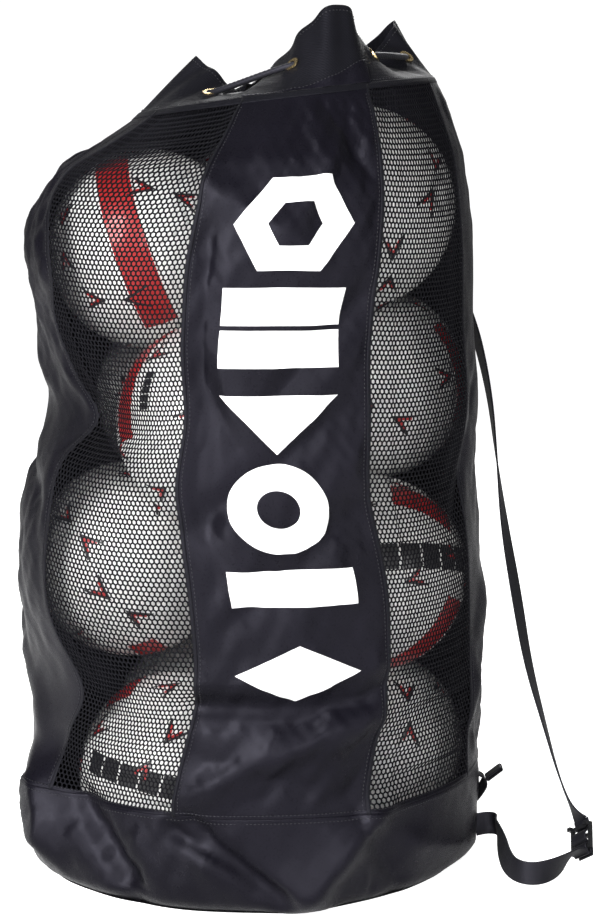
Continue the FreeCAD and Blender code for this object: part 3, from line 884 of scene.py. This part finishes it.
def add_seams(skin):
    """Folded tapes on the upright seams and at the cup."""
    heights = np.linspace(CUP_TOP, BODY_TOP + 0.003, 220)
    for name, turn, _ in UPRIGHTS:
        side, height = np.meshgrid(ACROSS, heights)
        verts = skin.at(turn + side * TAPE_HALF, height, np.broadcast_to(TAPE_RISE, side.shape) + 0.0003)
        add_tape(name, verts, False, BINDING, 0.0008)
    low, high = CUP_TOP + 0.0005, CUP_SEAM_TOP - 0.001
    turn, side = np.meshgrid(ROUND_TURNS, ACROSS)
    _, rise = np.meshgrid(ROUND_TURNS, TAPE_RISE)
    height = (low + high) / 2.0 + side * (high - low) / 2.0
    add_tape("cup_seam", skin.at(turn, height, 0.5 * rise + 0.0002), True, NYLON, 0.0012)


def add_collar_seam():
    """The folded tape between the body and the collar."""
    heights = np.linspace(BODY_TOP - 0.001, COLLAR_BOTTOM, len(ACROSS))
    points = np.stack([ring_points(h, np.radians(ROUND_TURNS)) for h in heights])
    points = points + skin_normals(points) * (0.4 * TAPE_RISE[:, None, None] + 0.0001)
    add_tape("collar_seam", points, True, CANVAS, 0.001)


# ---------------------------------------------------------------- print
def polygon_radius(angle, sides, turned):
    """How far a regular polygon of radius one reaches in each direction."""
    wedge = 2.0 * math.pi / sides
    return math.cos(wedge / 2.0) / np.cos((angle - turned) % wedge - wedge / 2.0)


# Plain shapes down the front: height of the middle, half height, across from the middle and half
# width as shares of the print's half width, sides, turn of the first corner in degrees, hole share
PRINT_SHAPES = [
    (0.723, 0.046, 0.0, 1.0, 6, 0, 0.46), (0.641, 0.019, 0.0, 1.0, 4, 45, 0.0),
    (0.598, 0.019, 0.0, 1.0, 4, 45, 0.0), (0.531, 0.040, 0.0, 1.0, 3, -90, 0.0),
    (0.434, 0.047, 0.0, 0.82, 64, 0, 0.42), (0.351, 0.019, 0.0, 1.0, 4, 45, 0.0),
    (0.262, 0.030, 0.0, 1.0, 4, 0, 0.0),
]
PRINT_MIDDLE = -81.5
PRINT_HALF = 14.6           # degrees


def print_patch(skin, middle, half_height, shift, half_width, sides, turned, hole):
    """One print shape as vertices on the skin and the faces between them."""
    angle = np.linspace(0.0, 2.0 * math.pi, 97)[:-1]
    outline = polygon_radius(angle, sides, math.radians(turned))
    x, y = outline * np.cos(angle), outline * np.sin(angle)
    x, y = x / np.abs(x).max(), y / np.abs(y).max()
    shares = np.linspace(max(hole, 0.001), 1.0, 16)[:, None]
    turn = PRINT_MIDDLE + PRINT_HALF * (shift + half_width * x * shares)
    height = middle + half_height * y * shares
    verts = skin.at(turn, height, 0.0006 + crumple(turn, height))
    return verts.reshape(-1, 3), grid_faces(len(shares), len(angle), True)


def add_print(skin):
    """The white print on the front panel, of plain shapes."""
    verts, faces = joined(print_patch(skin, *shape) for shape in PRINT_SHAPES)
    new_object("front_print", verts, faces, PRINT)


# ---------------------------------------------------------------- collar
def bump(azimuth):
    """How far the collar stands up in a direction, as in the CAD."""
    azimuth = np.asarray(azimuth, float)
    total = 0.0
    for lobe, rise in LOBES:
        total = total + rise * np.exp(-(apart(azimuth, lobe) / LOBE_SPREAD) ** 2)
    return total


def collar_skin(azimuth, share):
    """Points of the CAD collar's outside, share of the way from its seam to its top edge."""
    azimuth = np.asarray(azimuth, float)
    turn = np.radians(azimuth)
    low = ring_points(COLLAR_BOTTOM, turn)
    crest = bump(azimuth)
    radius = COLLAR_VALLEY_RADIUS + (COLLAR_LOBE_RADIUS - COLLAR_VALLEY_RADIUS) * crest
    x, y = radius * np.cos(turn), radius * np.sin(turn)
    height = COLLAR_VALLEY_TOP + COLLAR_LOBE_RISE * crest + COLLAR_SLOPE * x
    high = np.stack([COLLAR_CENTRE[0] + x, COLLAR_CENTRE[1] + y, height], -1)
    return low + (high - low) * np.asarray(share, float)[..., None]


def collar_normal(azimuth, share):
    """The collar's outward direction at a point."""
    round_step = collar_skin(azimuth + 1.0, share) - collar_skin(azimuth - 1.0, share)
    up_step = collar_skin(azimuth, share + 0.05) - collar_skin(azimuth, share - 0.05)
    return unit(np.cross(round_step, up_step))


def eyelet_places():
    """The centre and outward normal of each eyelet, in order round the collar."""
    turns = np.array(EYELET_TURNS)
    shares = np.full(turns.shape, EYELET_UP)
    normals = collar_normal(turns, shares)
    return collar_skin(turns, shares) - normals * 0.0012, normals


def collar_crease(azimuth, share):
    """How far the gathered cloth stands off the plain collar: pleats that deepen upwards."""
    fine = np.sin(np.radians(azimuth) * 23.0 + 1.3 * np.sin(np.radians(azimuth) * 5.0))
    broad = np.sin(np.radians(azimuth) * 9.0 + 0.7)
    return 0.0016 * fine * (0.35 + share) + 0.0022 * broad * share


# Where the collar's top edge stands above or below the plain lobes: azimuth, half width, rise
COLLAR_LIFTS = [(-99.0, 13.0, 0.012), (-131.0, 19.0, -0.013), (-52.0, 9.0, -0.006), (-158.0, 10.0, -0.004)]


EYELET_PLAIN = 0.009        # the canvas lies plain within this distance of an eyelet's middle
EYELET_HOLE = 0.0062        # radius of the canvas's hole there


def collar_outside(turn, share, out):
    """Points a distance outside the creased collar, which lies plain round each eyelet."""
    points = collar_skin(turn, share)
    away = np.min([np.linalg.norm(points - middle, axis=-1) for middle in eyelet_places()[0]], axis=0)
    calm = np.clip((away - EYELET_PLAIN) / 0.008, 0.0, 1.0)
    points = points + collar_normal(turn, share) * (collar_crease(turn, share) * calm + out)[..., None]
    for middle, half, rise in COLLAR_LIFTS:
        points[..., 2] += rise * np.exp(-(apart(turn, middle) / half) ** 2) * share ** 3 * calm
    return points


def add_collar():
    """The gathered canvas collar, open where the eyelets pass through."""
    turn, share = np.meshgrid(np.arange(0.0, 360.0, 0.6), np.linspace(0.0, 1.0, 48))
    points = collar_outside(turn, share, -0.0004)
    middles, _ = eyelet_places()
    faces = grid_faces(*turn.shape, True)
    centres = points.reshape(-1, 3)[faces].mean(axis=1)
    hidden = np.min([np.linalg.norm(centres - m, axis=-1) for m in middles], axis=0) < EYELET_HOLE
    obj = new_object("collar_canvas_band", points, faces[~hidden], CANVAS, slot="collar_canvas")
    merge_close(obj, 0.00001)
    solidify(obj, 0.0014)
    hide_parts("collar")


def top_share(turn):
    """How far up the collar the front panel's nylon reaches, as a share of the collar."""
    return np.interp(turn, (-108.0, -84.0, -70.0, -60.0, -54.0), (0.015, 0.03, 0.15, 0.31, 0.33))


def add_front_top():
    """The front panel's nylon where it runs up over the collar."""
    share, turn = np.meshgrid(np.linspace(-0.02, 1.0, 24), np.arange(-106.0, -56.5, 0.5))
    points = collar_outside(turn, share * top_share(turn), 0.0008)
    obj = new_object("front_panel_top", points.transpose(1, 0, 2), grid_faces(24, len(turn)), NYLON,
                     slot="nylon")
    solidify(obj, 0.0008)


def stitches(name, path, normals, spacing=0.0042, length=0.003, width=0.0005):
    """A row of raised stitches along a path of close points."""
    run = run_along(path)
    starts = np.arange(0.0, run[-1] - length, spacing)
    first, last = at_places(starts, run, path), at_places(starts + length, run, path)
    middle = (first + last) / 2.0
    out = unit(at_places(starts + length / 2.0, run, normals))
    side = unit(np.cross(out, last - first)) * width
    lift = out * width * 0.9
    verts = np.stack([first, middle + side, middle + lift, middle - side, last, middle - lift], 1)
    local = np.array([(0, 1, 2), (0, 2, 3), (4, 2, 1), (4, 3, 2), (0, 5, 1), (0, 3, 5), (4, 1, 5), (4, 5, 3)])
    faces = (np.arange(len(starts)) * 6)[:, None, None] + local[None]
    new_object(name, verts, faces.reshape(-1, 3), THREAD, slot="binding")


def add_stitches(skin):
    """Stitch rows beside the upright seams, above the cup and round the collar."""
    heights = np.linspace(CUP_SEAM_TOP + 0.002, BODY_TOP - 0.004, 700)
    for name, turn, panel in UPRIGHTS:
        side = -1.0 if panel.startswith("net") else 1.0
        turns = np.full(heights.shape, turn + side * 1.1)
        lift = crumple(turns, heights) * 1.1 / 3.0 + 0.0003
        line = skin.at(turns, heights, lift)
        stitches(name + "_stitches", line, skin.at(turns, heights, 1.0 + lift) - line)
    round_turns = np.arange(0.0, 360.5, 0.5)
    for label, height in (("low", CUP_TOP - 0.004), ("high", CUP_TOP + 0.0045)):
        heights = np.full(round_turns.shape, height)
        line = skin.at(round_turns, heights, np.full(round_turns.shape, 0.0005))
        stitches("cup_seam_stitches_" + label, line, unit(line - (0.0, 0.0, height)))
    for label, share in (("hem", 0.93), ("foot", 0.035)):
        shares = np.full(round_turns.shape, share)
        line = collar_outside(round_turns, shares, 0.0)
        stitches("collar_%s_stitches" % label, line, collar_normal(round_turns, shares))
    turns = np.arange(-106.0, -57.0, 0.4)
    shares = top_share(turns) * 0.96
    stitches("front_panel_top_stitches", collar_outside(turns, shares, 0.001), collar_normal(turns, shares))


# ---------------------------------------------------------------- drawcord
BRAID_TURN = 0.011          # metres of cord to one turn of its strands


def braid(name, line, radius=CORD_DIAMETER / 2.0):
    """A braided cord along a line, with its crossing strands in relief."""
    forward = tangents(line)
    side = np.zeros_like(line)
    side[0] = unit(np.cross(forward[0], (0.3, 0.1, 1.0)))
    for i in range(1, len(line)):
        side[i] = unit(side[i - 1] - forward[i] * (side[i - 1] @ forward[i]))
    other = np.cross(forward, side)
    angle = 2.0 * math.pi * np.arange(20) / 20
    twist = run_along(line)[:, None] / BRAID_TURN * 2.0 * math.pi
    relief = np.abs(np.sin(2.0 * angle + twist)) * np.abs(np.sin(2.0 * angle - twist))
    reach = radius * (0.90 + 0.14 * relief)
    rings = line[:, None] + side[:, None] * (reach * np.cos(angle))[..., None]
    rings = rings + other[:, None] * (reach * np.sin(angle))[..., None]
    return sweep(name, rings, CORD, "bag", "cord")


def even_line(line, step=0.0012):
    """The same line with points a step apart."""
    run = run_along(line)
    return at_places(np.linspace(0.0, run[-1], max(4, int(run[-1] / step))), run, line)


def add_drawcord():
    """The cord round the collar through every eyelet, its knot and its two tails."""
    middles, _ = eyelet_places()
    route = []
    for i in range(len(middles)):
        along = unit(middles[(i + 1) % len(middles)] - middles[i - 1])
        route += [middles[i] - along * 0.012, middles[i] + along * 0.012]
    knot = (middles[0] + middles[-1]) * 0.5 + np.array((-0.018, 0.016, 0.006))
    line = route_line([knot] + route + [knot], 40)
    cord = braid("drawcord_braid", even_line(line))
    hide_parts("drawcord")
    ball = knot_mesh(knot)
    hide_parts("cord_knot")
    for number, steps in enumerate(TAIL_STEPS, 1):
        tail_line = route_line([knot] + [knot + step for step in metres(steps)])
        tail = braid("cord_tail_%d" % number, even_line(tail_line))
        if number == 1:
            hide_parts("cord_tails")


def knot_mesh(place):
    """An overhand knot pulled tight: a trefoil of cord."""
    t = np.linspace(0.0, 2.0 * math.pi, 180)
    x, y = np.sin(t) + 2.0 * np.sin(2.0 * t), np.cos(t) - 2.0 * np.cos(2.0 * t)
    loop = np.stack([x, y, -1.6 * np.sin(3.0 * t)], -1)
    return braid("cord_knot_braid", place + loop * 0.0021, radius=0.0032)


# ---------------------------------------------------------------- balls
def ico_corners():
    """The twelve corners of an icosahedron."""
    g = (1.0 + math.sqrt(5.0)) / 2.0
    made = [(0, s, t * g) for s in (-1, 1) for t in (-1, 1)]
    return unit([p for q in made for p in (q, (q[1], q[2], q[0]), (q[2], q[0], q[1]))])


def ball_panels():
    """The corner directions of each of a football's 12 pentagons and 20 hexagons."""
    corners = ico_corners()
    count = len(corners)
    edge = min(np.linalg.norm(corners[0] - corners[k]) for k in range(1, count)) * 1.01
    close = [[k for k in range(count) if k != i and np.linalg.norm(corners[i] - corners[k]) < edge]
             for i in range(count)]

    def third(a, b):
        """The corner a third of the way along an edge."""
        return unit(corners[a] * 2.0 + corners[b])

    panels = [in_order([third(i, k) for k in close[i]]) for i in range(count)]
    for i in range(count):
        for j in close[i]:
            for k in close[i]:
                if i < j < k and k in close[j]:
                    pairs = [(i, j), (j, i), (j, k), (k, j), (k, i), (i, k)]
                    panels.append(in_order([third(a, b) for a, b in pairs]))
    return panels


def in_order(corners):
    """Corner directions sorted round their middle."""
    middle = unit(np.sum(corners, axis=0))
    first = unit(np.cross(middle, corners[0]))
    other = np.cross(middle, first)
    return sorted(corners, key=lambda c: math.atan2(c @ other, c @ first))


def panel_mesh(corners, around=7):
    """One ball panel, domed, and sunk along its edges into the seam."""
    corners = np.array(corners)
    middle = unit(corners.sum(axis=0))
    share = np.linspace(0.0, 1.0, around, endpoint=False)[:, None]
    rim = np.concatenate([a + (b - a) * share for a, b in zip(corners, np.roll(corners, -1, axis=0))])
    rings = np.array([0.02, 0.25, 0.5, 0.7, 0.84, 0.92, 0.96, 0.985, 1.0])[:, None, None]
    sunk = np.array([0.0, 0.0, 0.0, 0.0, 0.0001, 0.0003, 0.0007, 0.0012, 0.0017])[:, None, None]
    points = unit(middle * (1.0 - rings) + rim[None] * rings) * (BALL_RADIUS - 0.0003 - sunk)
    verts = np.concatenate([points.reshape(-1, 3), [middle * (BALL_RADIUS - 0.0003)]])
    faces = grid_faces(len(rings), len(rim), True).tolist()
    centre = len(verts) - 1
    faces += [[centre, k, (k + 1) % len(rim)] for k in range(len(rim))][::-1]
    return verts, faces


def ball_mesh():
    """A football of 32 sewn panels, shared by all the balls."""
    verts, faces, count = [], [], 0
    for corners in ball_panels():
        points, made = panel_mesh(corners)
        verts.append(points)
        faces += [[count + k for k in f] for f in made]
        count += len(points)
    mesh = bpy.data.meshes.new("football")
    mesh.from_pydata(np.concatenate(verts).tolist(), [], faces)
    mesh.polygons.foreach_set("use_smooth", [True] * len(mesh.polygons))
    mesh.materials.append(LEATHER)
    with editing(mesh) as made:
        bmesh.ops.remove_doubles(made, verts=made.verts, dist=0.00001)
        bmesh.ops.recalc_face_normals(made, faces=made.faces)
    return mesh


def mark_patch(azimuth, elevation, turned, outline, rows=4):
    """A flat outline in metres laid on the ball at a direction, filled from its middle."""
    t = math.radians(turned)
    out = direction(azimuth, elevation)
    right = np.array(level(azimuth + 90.0))
    up = np.cross(out, right)
    outline = np.array(outline, float)
    dense = np.concatenate([p + (q - p) * np.linspace(0, 1, 10, endpoint=False)[:, None]
                            for p, q in zip(outline, np.roll(outline, -1, axis=0))])
    middle = outline.mean(axis=0)
    shares = np.linspace(0.01, 1.0, rows)[:, None, None]
    flat = middle + (dense[None] - middle) * shares
    x = flat[..., 0] * math.cos(t) - flat[..., 1] * math.sin(t)
    y = flat[..., 0] * math.sin(t) + flat[..., 1] * math.cos(t)
    points = out * BALL_RADIUS + right * x[..., None] + up * y[..., None]
    return unit(points).reshape(-1, 3) * (BALL_RADIUS + 0.00012), grid_faces(rows, len(dense), True)


# Bands seen on the balls: ball, colour, from (azimuth, elevation) to (azimuth, elevation) about its
# centre in degrees, half width in metres, and how many blocks the band is cut into
BANDS = [
    (10, "red", -140, 64, -76, -44, 0.019, 1), (7, "red", 176, 62, -150, -6, 0.017, 1),
    (7, "black", -138, 34, -134, 12, 0.006, 5), (1, "red", -160, 50, 150, 60, 0.020, 1),
    (1, "black", -150, 14, -84, 5, 0.012, 5), (1, "red", -118, -14, -96, -34, 0.018, 1),
    (5, "black", -88, 20, -4, 6, 0.014, 6), (5, "red", -30, -10, -72, -62, 0.021, 1),
    (5, "red", -64, 62, -16, 34, 0.018, 1), (4, "red", -78, -48, -30, -70, 0.016, 1),
    (11, "red", -96, 58, -90, -20, 0.014, 1), (8, "red", -30, 40, -20, -20, 0.014, 1),
    (2, "red", -60, -34, -20, -30, 0.016, 1), (3, "red", 60, 40, 150, -10, 0.018, 1),
    (6, "red", 40, 30, 130, -30, 0.018, 1), (9, "red", 90, 50, 170, 0, 0.018, 1),
    (12, "red", 30, 30, 120, -20, 0.018, 1), (6, "black", 60, 40, 130, 20, 0.012, 6),
]


def direction(azimuth, elevation):
    """The unit vector at an azimuth and elevation in degrees."""
    a, e = math.radians(azimuth), math.radians(elevation)
    return np.array((math.cos(e) * math.cos(a), math.cos(e) * math.sin(a), math.sin(e)))


def band_patch(place, start, end, half, blocks):
    """A band on a ball along the shortest way between two directions, cut into blocks."""
    first, last = direction(*start), direction(*end)
    angle = math.acos(np.clip(first @ last, -1.0, 1.0))
    side = unit(np.cross(first, last))
    across = np.linspace(-half, half, 12)
    patches = []
    for block in range(blocks):
        share = (block + np.linspace(0.06, 0.94, 22)) / blocks if blocks > 1 else np.linspace(0.0, 1.0, 40)
        share = share[:, None]
        along = (np.sin((1.0 - share) * angle) * first + np.sin(share * angle) * last) / math.sin(angle)
        points = unit(along[:, None] * BALL_RADIUS + side * across[None, :, None]) * (BALL_RADIUS + 0.0001)
        patches.append((points.reshape(-1, 3) + place, grid_faces(len(share), len(across))))
    return joined(patches)


def leg(side, length, outside, inside):
    """A strip along one leg of an open V, between two distances in from the leg's outer edge."""
    opening = math.radians(25.0)
    ahead = np.array((math.cos(opening), side * math.sin(opening)))
    inward = np.array((math.sin(opening), -side * math.cos(opening)))
    slant = math.tan(opening)
    ends = ((outside, outside / slant), (outside, length), (inside, length), (inside, inside / slant))
    return [(0.009, 0.0) + (inward * d + ahead * t) for d, t in ends]


def ball_marks(number):
    """Pairs of Vs with their tips together, spread over a ball in a pattern of its own."""
    red, black = [], []
    pairs = 13
    for k in range(pairs):
        azimuth = number * 37.0 + k * 137.5
        elevation = math.degrees(math.asin(-0.92 + 1.84 * (k + 0.5) / pairs))
        turned = k * 71.0 + number * 29.0
        for away in (0.0, 180.0):
            for side in (-1.0, 1.0):
                black.append((azimuth, elevation, turned + away, leg(side, 0.034, 0.0, 0.0027)))
                red.append((azimuth, elevation, turned + away, leg(side, 0.026, 0.0027, 0.0056)))
    return red, black


def add_marks(number, matrix):
    """The red and black marks of one ball: Vs in its own turned frame, and its bands."""
    turned = np.array(matrix)[:3, :3]
    place = metres(BALL_PLACES[number - 1])
    for name, marks, paint in zip(("red", "black"), ball_marks(number), (BALL_RED, BALL_BLACK)):
        patches = [mark_patch(*mark) for mark in marks]
        patches = [(points @ turned.T + place, quads) for points, quads in patches]
        for ball, colour, a0, e0, a1, e1, half, blocks in BANDS:
            if ball == number and colour == name:
                patches.append(band_patch(place, (a0, e0), (a1, e1), half, blocks))
        new_object("ball_%02d_%s_marks" % (number, name), *joined(patches), paint)


def add_balls():
    """The twelve footballs, each turned its own way."""
    shared = ball_mesh()
    for number, place in enumerate(BALL_PLACES, 1):
        turn = Matrix.Rotation(number * 1.9, 4, "Z") @ Matrix.Rotation(number * 0.8, 4, "X")
        matrix = Matrix.Translation(Vector(place) * MM) @ turn
        mesh = shared.copy()
        mesh.transform(matrix)
        obj = link("ball_%02d_panels" % number, mesh)
        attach(obj, "bag")
        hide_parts("ball_%02d" % number)
        add_marks(number, matrix)


# ---------------------------------------------------------------- tabs, loop and hard parts
def add_tabs(skin):
    """The strap's two sewn tabs, each from the body to the strap's end."""
    for node, turn, height, end, width, bow in (
            ("strap_tab_top", 62.0, 0.846, STRAP_TOP, level(UPPER_TURNS[0]), (0, 0, 0)),
            ("strap_tab_bottom", -11.0, 0.034, STRAP_BOTTOM, swing_axis(), (0, 8, 2))):
        root, end, bow = skin.point(turn, height, -0.002), metres(end), metres(bow)
        line = route_line([root, (root + end) / 2.0 + bow, end + bow, end])
        piece = webbing(node + "_webbing", line, width, "bag")
        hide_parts(node)


# Ends of the grab loop in x and z, as part.py prints them
LOOP_HINGE = (0.27243, 0.084)
LOOP_TIP = (0.28661, 0.09508)
LOOP_RADIUS = 0.0016        # of its folds
LOOP_TURN = -6.0            # azimuth of the webbing behind it, in degrees
LOOP_SEWN = (0.089, 0.058)  # heights of that webbing's two ends


def add_loop(skin):
    """The grab loop, webbing folded flat, and the bulge of webbing behind it on the bag."""
    low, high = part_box("grab_loop")
    hinge, tip = (np.array((x, (low.y + high.y) / 2.0, z)) for x, z in (LOOP_HINGE, LOOP_TIP))
    out = unit(tip - hinge)
    side = np.array((0.0, 1.0, 0.0))
    up = np.cross(out, side)
    half_turn = np.linspace(-math.pi / 2.0, math.pi / 2.0, 15)
    bends = [(out * math.cos(t) + up * math.sin(t)) * LOOP_RADIUS for t in half_turn]
    front = [tip + bend for bend in bends]
    back = [hinge - bend for bend in bends]
    piece = webbing("grab_loop_webbing", np.array(front + back + front[:1]), side, "loop", LOOP_WEBBING)
    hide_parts("grab_loop")
    root, foot = (skin.point(LOOP_TURN, height, -0.002) for height in LOOP_SEWN)
    near = hinge - (0.0034, 0.0, 0.0)
    below = [near + (-0.0005, 0.0, -0.008), near - (0.006, 0.0, 0.017)]
    leant = unit((-0.40, 0.92, 0.0))
    bulge = route_line([root, near + (-0.0050, 0.0, 0.0035), near, *below, foot])
    sides = route_line([side, side, side, leant, leant, side])
    webbing("grab_loop_root", bulge, sides, "bag", LOOP_WEBBING)


def add_base(skin):
    """The round base sheet, sewn inside the cup's foot."""
    turns = np.arange(0.0, 360.0, 2.0)
    shares = np.linspace(0.04, 1.0, 24)[:, None]
    rim = skin.at(turns, np.full(turns.shape, 0.002))
    points = rim[None] * shares[..., None]
    points[..., 2] = 0.0009 + 0.0004 * np.sin(points[..., 0] * 60.0) * np.sin(points[..., 1] * 55.0)
    faces = grid_faces(len(shares), len(turns), True)
    obj = new_object("base_disc_nylon", points, faces, NYLON, slot="nylon")
    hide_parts("base_disc")


def dress_nodes():
    """Materials and softened edges on the CAD nodes that stay."""
    for node, paint, width in (("eyelets", BRASS, 0.0005), ("eyelet_washers", BRASS, 0.0004),
                               ("ladder_lock", PLASTIC, 0.0009)):
        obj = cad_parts[node]
        obj.data.materials.clear()
        obj.data.materials.append(paint)
        add_modifier(obj, "BEVEL", width=width, segments=3, limit_method="ANGLE")


add_camera()
add_strap()
add_drawcord()
add_studio()
skin = Skin(relax_skin(400))
add_body(skin)
add_seams(skin)
add_print(skin)
add_collar()
add_collar_seam()
add_front_top()
add_stitches(skin)
add_balls()
add_tabs(skin)
add_loop(skin)
add_base(skin)
dress_nodes()
